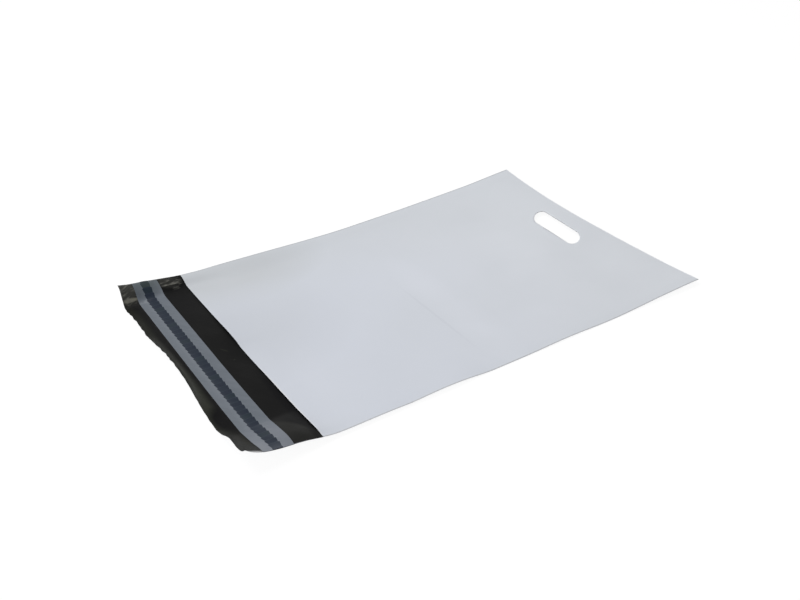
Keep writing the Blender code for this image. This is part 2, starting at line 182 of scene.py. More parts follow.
# Ragged free edge of the lip, weaker near the bag's near side and none at its far corner
RAGGED_DEPTH = 0.0013
RAGGED_LENGTH = 0.0075
RAGGED_REACH = 0.006
RAGGED_NEAR_SHARE = 0.25
RAGGED_FROM_NEAR = 0.165
RAGGED_TO_NEAR = 0.335
RAGGED_FADE = 0.030

# Slow ripples of film that has been folded and packed
FILM_RIPPLE = 0.00022
FILM_RIPPLE_LENGTH = 0.055

# Least share of its length that a cell keeps where the film is steep
LEAST_DRAWN = 0.6
SHARP_ANGLE = math.radians(35.0)

# Base colours of the films and the glue, each with a second tone that noise blends in
PALE_BASE = (0.742, 0.776, 0.824)
PALE_CLOUDS = (0.725, 0.760, 0.810)
WELD_BASE = (0.56, 0.58, 0.61)
WELD_LIGHT = (0.66, 0.68, 0.71)
BLACK_BASE = (0.0060, 0.0060, 0.0064)
BLACK_LIGHT = (0.0082, 0.0082, 0.0080)
GLUE_BASE = (0.030, 0.038, 0.052)
GLUE_LIGHT = (0.042, 0.052, 0.070)

# Span over which noise is spread out, and where an oval mark reaches its full colour
NOISE_LOW = 0.3
NOISE_HIGH = 0.7
MARK_FULL = 0.5
FLAP_FULL = 0.2
CRUMPLE_FULL = 0.4
LINER_END_FULL = 0.6

# Fine lines that the film's making draws along the web: cycles per metre, length, depth
DRAW_LINES = 700.0
DRAW_LINE_LENGTH = 50.0
DRAW_LINE_DEPTH = 0.00002

# Directions, in degrees, in which the glue was dragged on and the black film is wavy
GLUE_DRAG = -50.0
BLACK_WAVES = -60.0

# Painted light and shade on the pale film: place along and across, half sizes along and across,
# softness, colour
PALE_FILM_PAINTED_LIGHT = (
    # painted broad light and shade: lighter and bluer towards the near side and the fold end,
    # darker at the far side and in the middle beside the mouth
    (0.160, -0.070, 0.34, 0.24, 0.5, (0.776, 0.812, 0.890)),
    (0.500, -0.060, 0.40, 0.50, 0.8, (0.850, 0.882, 0.935)),
    (0.050, 0.160, 0.13, 0.080, 0.6, (0.682, 0.710, 0.745)),
    (0.015, 0.030, 0.12, 0.110, 0.7, (0.715, 0.748, 0.815)),
    # cross fold of the imported bag: a paler band of painted light and a thin darker line of
    # painted shade in the crease
    (0.226, -0.060, 0.030, 0.150, 0.7, (0.835, 0.868, 0.940)),
    (0.2010, -0.060, 0.0022, 0.085, 0.5, (0.775, 0.808, 0.880)),
    # painted highlight along the cut edge of the front wall at the mouth
    (0.0004, -0.110, 0.0013, 0.080, 0.6, (0.900, 0.910, 0.940)),
)

# Marks on the black film, most of them painted light and shade: place along and across, half sizes
# along and across, turn, colour
BLACK_FILM_MARKS_AND_PAINTED_LIGHT = (
    # sheen of the curled outer margin, near and far
    (-0.0760, -0.030, 0.0120, 0.120, 0.0, (0.0340, 0.0360, 0.0280)),
    (-0.0760, 0.100, 0.0120, 0.070, 0.0, (0.0180, 0.0190, 0.0150)),
    # painted shade in the valley before the bent near corner, and painted shadow in a strip under
    # the mouth's edge
    (-0.0640, -0.098, 0.014, 0.026, 0.0, (0.0035, 0.0035, 0.0040)),
    (-0.0040, -0.110, 0.006, 0.080, 0.0, (0.0035, 0.0035, 0.0045)),
    # bent near corner outside the liner, turned more to the light
    (-0.0680, -0.150, 0.012, 0.034, 0.0, (0.0220, 0.0220, 0.0190)),
    # painted light on the far corner's crumpled film, paler all over where its crinkles catch the
    # light
    (-0.0690, 0.168, 0.016, 0.0150, 0.0, (0.0640, 0.0640, 0.0580)),
    (-0.0190, 0.168, 0.015, 0.0110, 0.0, (0.0330, 0.0330, 0.0300)),
    # scuff and dot between the liner and the mouth
    (-0.0165, 0.0100, 0.0065, 0.0007, -54.0, (0.0220, 0.0250, 0.0180)),
    (-0.0146, -0.0111, 0.0016, 0.0012, 0.0, (0.0200, 0.0230, 0.0170)),
    # painted highlight on the crest of the fold that ends the far curl
    (-0.0670, 0.1545, 0.0120, 0.0018, 4.0, (0.2200, 0.2150, 0.1800)),
    # pale outer face that shows where the near tip is turned up
    (-0.0690, -0.1746, 0.0120, 0.0034, 0.0, (0.4600, 0.4600, 0.4700)),
    # cut edge beside the liner's near end
    (-0.0400, -0.1756, 0.0420, 0.0016, 0.0, (0.3000, 0.3000, 0.3300)),
)

# Past its crease the near flap is lit evenly: place of the crease, width over which the light
# sets in and its direction, then the colour, and the oval round the flap
FLAP_LIGHT = (-0.0170, -0.1385, 0.0040, -139.0)
FLAP_COLOUR = (0.0220, 0.0220, 0.0205)
FLAP_INNER = (-0.0120, -0.165, 0.030, 0.060)

# Crumpled film on both sides of the liner at the far corner, with painted highlights on its
# streaks
CRUMPLED = (
    # place along and across, half sizes along and across, direction of the streaks
    (-0.0680, 0.1660, 0.0120, 0.0130, 32.0),
    (-0.0160, 0.1660, 0.0150, 0.0120, 6.0),
)
CRUMPLE_HIGHLIGHT_COLOUR = (0.200, 0.197, 0.176)
CRUMPLE_DEPTH = 0.0012

# Tones of the liner and its share of gloss, in the order of the slots: loose, over three kinds
# of glue block, over the line between two blocks, and over the bare end of the bead
LINER_LOOSE, LINER_BLOCK, LINER_DARK_BLOCK, LINER_GREEN_BLOCK, LINER_STEP, LINER_BARE = range(6)
LINER_TONES = (
    ("loose_liner", (0.152, 0.175, 0.206), (0.172, 0.195, 0.228), 0.34),
    ("stuck_liner", (0.020, 0.029, 0.046), (0.027, 0.037, 0.056), 0.12),
    ("stuck_liner_dark", (0.018, 0.026, 0.044), (0.025, 0.034, 0.053), 0.12),
    ("stuck_liner_green", (0.021, 0.033, 0.046), (0.028, 0.040, 0.055), 0.12),
    ("step_liner", (0.028, 0.039, 0.056), (0.035, 0.047, 0.067), 0.12),
    ("bare_liner", (0.038, 0.054, 0.058), (0.054, 0.068, 0.072), 0.12),
)
BEAD_BARE_END = 0.007

# The liner's near end, made paler by painted light where it lies on the bent near corner, and its
# duller far end
LINER_PAINTED_LIGHT = (0.300, 0.315, 0.360)
LINER_DULL = (0.095, 0.117, 0.118)
LINER_ENDS = (
    # place along and across, half sizes along and across, share of the tone where the liner
    # is loose and where it is stuck, tone
    # painted light on the liner's near end, where it lies on the bent near corner
    (-0.0560, -0.1740, 0.0130, 0.0220, 0.35, 0.0, LINER_PAINTED_LIGHT),
    (-0.0430, -0.1780, 0.0200, 0.0150, 0.35, 0.15, LINER_PAINTED_LIGHT),
    (-0.0440, -0.1550, 0.0340, 0.0380, 0.38, 0.03, LINER_PAINTED_LIGHT),
    (-0.0440, 0.1780, 0.0300, 0.0260, 0.6, 0.0, LINER_DULL),
)

# Camera, fitted to the bag's outline
CAMERA_PLACE = (-0.48219, -0.77851, 0.55898)
CAMERA_RIGHT = (0.84316, -0.53662, -0.03345)
CAMERA_UP = (0.30744, 0.43016, 0.84879)
CAMERA_LENS = 42.705
CAMERA_SENSOR = 36.0
CAMERA_CLIP = 0.01

# Floor and lights: the floor glows where it is seen and is plain in the light it gives
FLOOR_HALF = 7.5
FLOOR_DROP = 0.0004
FLOOR_GLOW = 0.92
FLOOR_VEIL = 0.13
FLOOR_PLAIN = 0.75
ROOM_LIGHT = 0.30
LAMPS = (
    # name, place, width, height, power
    ("key_lamp", (-0.6, 1.2, 2.2), 2.0, 2.0, 37.0),
    ("fill_lamp", (-1.8, -1.4, 1.6), 1.6, 1.6, 12.0),
    ("low_lamp", (2.0, 2.3, 0.36), 4.0, 0.7, 6.0),
)


def ease(share):
    """Smooth step: 0 below 0, 1 above 1."""
    share = min(max(share, 0.0), 1.0)
    return share * share * (3.0 - 2.0 * share)


def swell(share):
    """Smooth hump: 1 at 0, and 0 from 1 outwards on either side."""
    share = min(abs(share), 1.0)
    return (1.0 - share * share) ** 2


def fade(distance, reach):
    """Curve of a lifted edge: 1 on the edge, 0 from the reach onwards."""
    return max(0.0, 1.0 - distance / reach) ** 2


def lip_lift(along, across):
    """Lip raised off the table, with its outer margin curled up and a dip at the mouth."""
    length = LIP_LIFT_START - LIP_LIFT_END
    height = LIP_LIFT * ease((LIP_LIFT_START - along) / length)
    run = max(0.0, (MARGIN_START - along) / (MARGIN_START + LIP_LENGTH))
    for place, half_length, lift in MARGIN_CURLS:
        height += lift * run * run * swell((across - place) / half_length)
    dip = swell((along - MOUTH_DIP_ALONG) / MOUTH_DIP_HALF_LENGTH)
    return height - MOUTH_DIP * dip * swell((across - MOUTH_DIP_ACROSS) / MOUTH_DIP_HALF_WIDTH)


def far_edge_curl(along, from_far):
    to_fold = PANEL_LENGTH - along
    lift = FAR_LIP_LIFT * ease(1.0 - along / FAR_LIP_FADE)
    lift += FAR_TIP_LIFT * (max(0.0, -along) / LIP_LENGTH) ** FAR_TIP_POWER
    reach = FAR_MOUTH_REACH
    reach += (FAR_LIP_REACH - FAR_MOUTH_REACH) * ease(-along / FAR_LIP_REACH_LENGTH)
    reach += (FAR_EDGE_REACH - FAR_MOUTH_REACH) * ease(along / FAR_MOUTH_REACH_LENGTH)
    height = lift * swell(from_far / reach)
    lift = FAR_EDGE_LIFT
    lift += FAR_FOLD_LIFT * max(0.0, 1.0 - to_fold / FAR_FOLD_FADE) ** FAR_FOLD_POWER
    spread = ease(1.0 - to_fold / FAR_FOLD_SPREAD)
    reach = FAR_EDGE_REACH + (FAR_FOLD_REACH - FAR_EDGE_REACH) * spread
    return height + lift * fade(from_far, reach)


def fold_end_lift(along):
    return FOLD_LIFT * ease(1.0 - (PANEL_LENGTH - along) / FOLD_LIFT_FADE)


def near_edge_waves(along, from_near):
    to_fold = PANEL_LENGTH - along
    corner = ease((NEAR_FOLD_START - to_fold) / (NEAR_FOLD_START - NEAR_FOLD_END))
    height = NEAR_FOLD_LIFT * corner * fade(from_near, NEAR_FOLD_REACH)
    for place, half_length, lift in NEAR_WAVES:
        height += lift * swell((along - place) / half_length) * fade(from_near, NEAR_WAVE_REACH)
    lift = NEAR_LIP_LIFT * ease((NEAR_LIP_START - along) / (NEAR_LIP_START - NEAR_LIP_END))
    lift += NEAR_STEP_LIFT * ease((NEAR_STEP_START - along) / NEAR_STEP_LENGTH)
    droop = NEAR_DROOP * swell((along - NEAR_DROOP_ALONG) / NEAR_DROOP_HALF_LENGTH)
    return (height + lift * fade(from_near, NEAR_LIP_REACH)
            - droop * fade(from_near, NEAR_DROOP_REACH))


def bent_corner(along, from_near):
    """Rise past the crease, measured square to the crease line, and the tip of the corner."""
    run = CREASE_EDGE_INSET - CREASE_MOUTH_INSET
    length = math.hypot(run, LIP_LENGTH)
    past = ((CREASE_MOUTH_INSET - from_near) * LIP_LENGTH - along * run) / length
    left = 1.0 - min(max(past / CREASE_REACH, 0.0), 1.0)
    kept = 1.0 - ease((along - CREASE_FADE_START) / CREASE_FADE_LENGTH)
    to_corner = math.hypot(along + LIP_LENGTH, from_near)
    return CREASE_LIFT * (1.0 - left * left) * kept + CORNER_LIFT * fade(to_corner, CORNER_REACH)


def slot_rise(along, across):
    place = PANEL_LENGTH - SLOT_RISE_TO_FOLD
    lengthwise = swell((along - place) / SLOT_RISE_HALF_LENGTH)
    return SLOT_RISE * lengthwise * swell((across - SLOT_RISE_ACROSS) / SLOT_RISE_HALF_WIDTH)


def crease(along, across, place_along, place_across, degrees, half_length, half_width, height):
    """Low ridge with a sharp crest along a line in the given direction."""
    angle = math.radians(degrees)
    run = along - place_along
    side = across - place_across
    lengthwise = run * math.cos(angle) + side * math.sin(angle)
    sideways = side * math.cos(angle) - run * math.sin(angle)
    return height * swell(lengthwise / half_length) * fade(abs(sideways), half_width)


def ripple(along, across):
    """Slow, slight unevenness of film that has been folded and packed."""
    point = Vector((along / FILM_RIPPLE_LENGTH, across / FILM_RIPPLE_LENGTH, 0.0))
    return FILM_RIPPLE * (1.0 + noise.noise(point))


def film_height(along, across):
    """Height of the rear wall's underside above the floor."""
    from_far = PANEL_WIDTH / 2.0 - across
    from_near = PANEL_WIDTH / 2.0 + across
    height = lip_lift(along, across)
    height += far_edge_curl(along, from_far)
    height += fold_end_lift(along)
    height += near_edge_waves(along, from_near)
    height += bent_corner(along, from_near)
    height += slot_rise(along, across)
    height += crease(along, across, *PANEL_CREASE)
    return height + ripple(along, across)


def mouth_lift(along, from_far):
    lift = MOUTH_LIFT * ease((from_far - MOUTH_LIFT_START) / MOUTH_LIFT_RISE)
    lift *= ease((MOUTH_LIFT_END - from_far) / MOUTH_LIFT_DROP)
    return lift * fade(max(along, 0.0), MOUTH_LIFT_FADE)


def pocket_gap(along, across):
    """Space between the two walls, closing to nothing at the welds and the fold."""
    to_weld = PANEL_WIDTH / 2.0 - WELD_WIDTH - abs(across)
    to_fold = PANEL_LENGTH - FOLD_WIDTH - along
    opening = POCKET_OPENING * ease(1.0 - along / POCKET_OPENING_FADE)
    opening += mouth_lift(along, PANEL_WIDTH / 2.0 - across)
    gap = (POCKET_GAP + opening) * ease(to_weld / POCKET_TAPER)
    return gap * ease(to_fold / POCKET_TAPER)


def evenly(start, end, cells):
    """Stations from start up to, and without, end."""
    return [start + (end - start) * step / cells for step in range(cells)]


def along_stations():
    rows = evenly(-LIP_LENGTH, 0.0, LIP_CELLS)
    rows += evenly(0.0, PANEL_LENGTH - FOLD_WIDTH, PANEL_CELLS)
    return rows + [PANEL_LENGTH - FOLD_WIDTH, PANEL_LENGTH]


def across_stations():
    half = PANEL_WIDTH / 2.0
    inner = half - WELD_WIDTH
    return [-half] + evenly(-inner, inner, ACROSS_CELLS) + [inner, half]


def drawn_in(stations, heights):
    """Stations drawn together so that the film keeps its length over the given heights."""
    middle = len(stations) // 2
    drawn = list(stations)
    for step in (1, -1):
        last = len(stations) - 1 if step == 1 else 0
        for index in range(middle, last, step):
            flat = stations[index + step] - stations[index]
            rise = heights[index + step] - heights[index]
            kept = max(flat * flat - rise * rise, (LEAST_DRAWN * flat) ** 2)
            drawn[index + step] = drawn[index] + step * math.sqrt(kept)
    return drawn


def fold_draw(along, across):
    """Length that the rise round the slot takes from the middle of the fold end."""
    share = across / (PANEL_WIDTH / 2.0)
    return FOLD_DRAW * (1.0 - share * share) * ease(1.0 - (PANEL_LENGTH - along) / FOLD_DRAW_REACH)


def ragged_edge(along, across):
    """Small unevenness of the lip's free edge, where the film was torn from the web."""
    from_near = across + PANEL_WIDTH / 2.0
    strength = fade(along + LIP_LENGTH, RAGGED_REACH)
    risen = ease((from_near - RAGGED_FROM_NEAR) / RAGGED_FADE)
    strength *= RAGGED_NEAR_SHARE + (1.0 - RAGGED_NEAR_SHARE) * risen
    strength *= ease((RAGGED_TO_NEAR - from_near) / RAGGED_FADE)
    return RAGGED_DEPTH * noise.noise(Vector((across / RAGGED_LENGTH, 0.0, 0.0))) * strength


def lying_grid():
    """Point of each row and column of the film as it lies."""
    heights = [[film_height(along, across) for across in ACROSS] for along in ALONG]
    rows = [drawn_in(ACROSS, line) for line in heights]
    columns = [drawn_in(ALONG, line) for line in zip(*heights)]
    points = []
    for row, along in enumerate(ALONG):
        points.append([])
        for column, across in enumerate(ACROSS):
            x = columns[column][row] - fold_draw(along, across) + ragged_edge(along, across)
            points[-1].append((x, rows[row][column], heights[row][column]))
    return points


ALONG = along_stations()
ACROSS = across_stations()
MOUTH_ROW = ALONG.index(0.0)
POINTS = lying_grid()


def cell_of(stations, place):
    """Index of the station cell that holds a place, and the share of the cell behind it."""
    index = 0
    while index < len(stations) - 2 and stations[index + 1] <= place:
        index += 1
    return index, (place - stations[index]) / (stations[index + 1] - stations[index])


def lying_point(along, across, lift):
    """Point over the faceted film, whose cells are split from their low to their high corner."""
    row, u = cell_of(ALONG, along)
    column, v = cell_of(ACROSS, across)
    low = POINTS[row][column]
    high = POINTS[row + 1][column + 1]
    corner = POINTS[row + 1][column] if u > v else POINTS[row][column + 1]
    shares = (1.0 - max(u, v), abs(u - v), min(u, v))
    point = [sum(share * place[axis] for share, place in zip(shares, (low, corner, high)))
             for axis in range(3)]
    return point[0], point[1], point[2] + lift


class Layer:
    """Grid of points a given height above the film's underside."""

    def __init__(self, bm, offset):
        self.bm = bm
        self.offset = offset
        self.vertices = {}

    def add(self, rows, columns):
        for row in rows:
            for column in columns:
                if (row, column) not in self.vertices:
                    x, y, z = POINTS[row][column]
                    lifted = z + self.offset(ALONG[row], ACROSS[column])
                    self.vertices[row, column] = self.bm.verts.new(shifted((x, y, lifted)))

    def cell(self, row, column):
        corners = ((row, column), (row + 1, column), (row + 1, column + 1), (row, column + 1))
        return [self.vertices[corner] for corner in corners]


def middle_of(axis):
    places = [point[axis] for line in POINTS for point in line]
    return (min(places) + max(places)) / 2.0


ORIGIN_SHIFT = (-middle_of(0), -middle_of(1), 0.0)
OUTSIDE = 0
INSIDE = 1
WELD = 2


def shifted(point):
    return tuple(value + shift for value, shift in zip(point, ORIGIN_SHIFT))


def add_cell(bm, corners, up, material):
    """Two triangles that share the diagonal from the first corner to the third."""
    first, second, third, fourth = corners
    for triangle in ((first, second, third), (first, third, fourth)):
        face = bm.faces.new(triangle if up else triangle[::-1])
        face.material_index = material


def add_pocket_cell(bm, floor, roof):
    """Floor and roof of one pocket cell, left out where all three corners are welded."""
    for first, second, third in ((0, 1, 2), (0, 2, 3)):
        below = (floor[first], floor[second], floor[third])
        above = (roof[third], roof[second], roof[first])
        if set(below) != set(above):
            for triangle in (below, above):
                face = bm.faces.new(triangle)
                face.material_index = INSIDE


def add_strip(bm, lower, upper, material):
    """Wall of faces between two rows of vertices, facing right of their direction."""
    for index in range(len(lower) - 1):
        ring = []
        for vertex in (lower[index], lower[index + 1], upper[index + 1], upper[index]):
            if vertex not in ring:
                ring.append(vertex)
        if len(ring) > 2:
            face = bm.faces.new(ring)
            face.material_index = material


def finish_mesh(bm, name, materials):
    mesh = bpy.data.meshes.new(name)
    bmesh.ops.recalc_face_normals(bm, faces=bm.faces)
    bm.to_mesh(mesh)
    bm.free()
    for material in materials:
        mesh.materials.append(material)
    mesh.shade_smooth()
    mesh.set_sharp_from_angle(angle=SHARP_ANGLE)
    obj = bpy.data.objects.new(name, mesh)
    bpy.context.scene.collection.objects.link(obj)
    return obj


def build_film(materials):
    """One closed skin: both outer faces, the pocket between them and the lip."""
    bm = bmesh.new()
    last_row = len(ALONG) - 1
    last_column = len(ACROSS) - 1
    all_rows = range(last_row + 1)
    all_columns = range(last_column + 1)
    pocket_rows = range(MOUTH_ROW, last_row)
    pocket_columns = range(1, last_column)
    panel_rows = range(MOUTH_ROW, last_row + 1)

    def one_film(along, across):
        return FILM_THICKNESS

    under = Layer(bm, lambda along, across: 0.0)
    under.add(all_rows, all_columns)
    over = Layer(bm,
                 lambda along, across: 2.0 * FILM_THICKNESS + pocket_gap(along, across))
    over.add(panel_rows, all_columns)
    lip_top = Layer(bm, one_film)
    lip_top.add(range(MOUTH_ROW + 1), all_columns)
    floor = Layer(bm, one_film)
    for column in pocket_columns:
        floor.vertices[MOUTH_ROW, column] = lip_top.vertices[MOUTH_ROW, column]
    floor.add(pocket_rows, pocket_columns)
    roof = Layer(bm,
                 lambda along, across: FILM_THICKNESS + pocket_gap(along, across))
    roof.add(range(MOUTH_ROW, last_row - 1), range(2, last_column - 1))
    for row in pocket_rows:
        for column in pocket_columns:
            roof.vertices.setdefault((row, column), floor.vertices[row, column])

    for row in range(last_row):
        for column in range(last_column):
            side = WELD if column in (0, last_column - 1) and row >= MOUTH_ROW else OUTSIDE
            add_cell(bm, under.cell(row, column), False, side)
            if row >= MOUTH_ROW:
                add_cell(bm, over.cell(row, column), True, side)
            else:
                add_cell(bm, lip_top.cell(row, column), True, INSIDE)
    for row in range(MOUTH_ROW, last_row - 1):
        for column in range(1, last_column - 1):
            add_pocket_cell(bm, floor.cell(row, column), roof.cell(row, column))

    for column in (0, last_column):
        lower = [under.vertices[row, column] for row in range(MOUTH_ROW + 1)]
        upper = [lip_top.vertices[row, column] for row in range(MOUTH_ROW + 1)]
        add_strip(bm, lower, upper, OUTSIDE)
        lower = [under.vertices[row, column] for row in panel_rows]
        upper = [over.vertices[row, column] for row in panel_rows]
        bm.faces.new([lower[0], lower[1], upper[1], upper[0], lip_top.vertices[MOUTH_ROW, column]])
        add_strip(bm, lower[1:], upper[1:], WELD)
    add_strip(bm, [under.vertices[0, column] for column in all_columns],
              [lip_top.vertices[0, column] for column in all_columns], OUTSIDE)
    add_strip(bm, [under.vertices[last_row, column] for column in all_columns],
              [over.vertices[last_row, column] for column in all_columns], OUTSIDE)
    mouth_edge = [lip_top.vertices[MOUTH_ROW, 0]]
    mouth_edge += [roof.vertices[MOUTH_ROW, column] for column in pocket_columns]
    mouth_edge.append(lip_top.vertices[MOUTH_ROW, last_column])
    add_strip(bm, mouth_edge, [over.vertices[MOUTH_ROW, column] for column in all_columns],
              OUTSIDE)
    return finish_mesh(bm, "mailer_film", materials)


def cut_slot(film):
    """Stadium with leaning ends, punched straight down through both walls."""
    bm = bmesh.new()
    radius = SLOT_WIDTH / 2.0
    straight = SLOT_LENGTH / 2.0 - radius
    turn = Matrix.Rotation(-SLOT_SKEW, 3, "Z")
    centre = Vector(shifted((PANEL_LENGTH - SLOT_TO_FOLD, SLOT_OFF_CENTRE, SLOT_TOOL_LOW)))
    ring = []
    for side in (1.0, -1.0):
        for step in range(SLOT_ARC_STEPS + 1):
            angle = math.pi * step / SLOT_ARC_STEPS
            inward = side * radius * math.cos(angle)
            lengthwise = side * (straight + radius * math.sin(angle)) + SLOT_LEAN * inward
            point = Vector((inward, lengthwise, 0.0))
            ring.append(bm.verts.new(centre + turn @ point))
    face = bm.faces.new(ring)
    extruded = bmesh.ops.extrude_face_region(bm, geom=[face])
    top = [item for item in extruded["geom"] if isinstance(item, bmesh.types.BMVert)]
    bmesh.ops.translate(bm, verts=top, vec=(0.0, 0.0, SLOT_TOOL_HEIGHT))
    cutter = finish_mesh(bm, "slot_tool", ())
    cut = film.modifiers.new("carry_slot", "BOOLEAN")
    cut.operation = "DIFFERENCE"
    cut.solver = "EXACT"
    cut.object = cutter
    evaluated = film.evaluated_get(bpy.context.evaluated_depsgraph_get())
    mesh = bpy.data.meshes.new_from_object(evaluated)
    film.modifiers.clear()
    film.data = mesh
    bpy.data.objects.remove(cutter)


def add_ribbon(bm, columns, rows_at, low_at, high_at, material_at):
    """Closed ribbon along the mouth, with its rows, underside and top given column by column."""
    low = []
    high = []
    for across in columns:
        low.append([])
        high.append([])
        for index, along in enumerate(rows_at(across)):
            low[-1].append(bm.verts.new(shifted(lying_point(along, across, low_at(index)))))
            high[-1].append(bm.verts.new(shifted(lying_point(along, across, high_at(index)))))
    for column in range(len(columns) - 1):
        for row in range(len(low[0]) - 1):
            corners = ((column, row), (column, row + 1), (column + 1, row + 1), (column + 1, row))
            material = material_at(row, (columns[column] + columns[column + 1]) / 2.0)
            add_cell(bm, [low[c][r] for c, r in corners], False, material)
            add_cell(bm, [high[c][r] for c, r in corners], True, material)
    for row in (0, -1):
        add_strip(bm, [line[row] for line in low], [line[row] for line in high], 0)
    for column in (0, -1):
        add_strip(bm, low[column], high[column], 0)


def tooth_depth(across):
    """Saw-toothed edge of the bead: a long slow rise, then a short return."""
    share = (across + BEAD_HALF_LENGTH) / BEAD_PITCH % 1.0
    rise = share / (1.0 - BEAD_TOOTH_RETURN)
    return BEAD_TOOTH_DEPTH * min(rise, (1.0 - share) / BEAD_TOOTH_RETURN)


def ribbon_columns(half):
    """Even columns, with one at each corner of each tooth."""
    notches = [BEAD_PITCH * index - BEAD_HALF_LENGTH for index in range(1, BEAD_TEETH)]
    shoulders = [notch - BEAD_PITCH * BEAD_TOOTH_RETURN for notch in notches]
    columns = evenly(-half, half, RIBBON_CELLS) + notches + shoulders
    kept = []
    for place in sorted(columns):
        if not kept or place - kept[-1] > LEAST_COLUMN:
            kept.append(place)
    return kept + [half]


def bead_rows(edge):
    return [-BEAD_TO_MOUTH + edge * share for share in BEAD_ROWS]


def build_glue(material):
    """Hot-melt bead with its stepped edges, low at its sides."""
    base = FILM_THICKNESS + SEAT_CLEARANCE
    bm = bmesh.new()
    add_ribbon(bm, ribbon_columns(BEAD_HALF_LENGTH),
               lambda across: bead_rows(BEAD_WIDTH / 2.0 + tooth_depth(across)),
               lambda index: base, lambda index: base + BEAD_TOPS[index],
               lambda row, across: 0)
    return finish_mesh(bm, "glue_bead", (material,))


def block_tone(across):
    """Slot of the liner's tone over a block of the bead, or over the line between two blocks."""
    share = (across + BEAD_HALF_LENGTH) / BEAD_PITCH
    if across > BEAD_HALF_LENGTH - BEAD_BARE_END:
        return LINER_BARE
    if share % 1.0 > 1.0 - BEAD_TOOTH_RETURN:
        return LINER_STEP
    tones = (LINER_BLOCK, LINER_DARK_BLOCK, LINER_BLOCK, LINER_GREEN_BLOCK, LINER_DARK_BLOCK)
    return tones[int(share) % len(tones)]


def build_liner(materials):
    """Release liner, which takes the bead's outline where it is stuck down."""
    low = -LINER_TO_MOUTH - LINER_WIDTH / 2.0
    high = -LINER_TO_MOUTH + LINER_WIDTH / 2.0

    def rows_at(across):
        inside = min(1.0, (BEAD_HALF_LENGTH - abs(across)) / BEAD_END_MARGIN + 1.0)
        stuck = bead_rows(BEAD_WIDTH / 2.0 + tooth_depth(across) * inside)
        return [low, (low + stuck[0]) / 2.0] + stuck + [(stuck[-1] + high) / 2.0, high]

    seat = FILM_THICKNESS + SEAT_CLEARANCE
    loose = (seat, seat)
    lifts = loose + tuple(seat + SEAT_CLEARANCE + top for top in BEAD_TOPS) + loose
    stuck_rows = range(len(loose), len(loose) + len(BEAD_ROWS) - 1)
    bm = bmesh.new()
    add_ribbon(bm, ribbon_columns(PANEL_WIDTH / 2.0 - LINER_END_MARGIN), rows_at,
               lambda index: lifts[index], lambda index: lifts[index] + LINER_THICKNESS,
               lambda row, across: block_tone(across) if row in stuck_rows else LINER_LOOSE)
    return finish_mesh(bm, "liner_tape", materials)


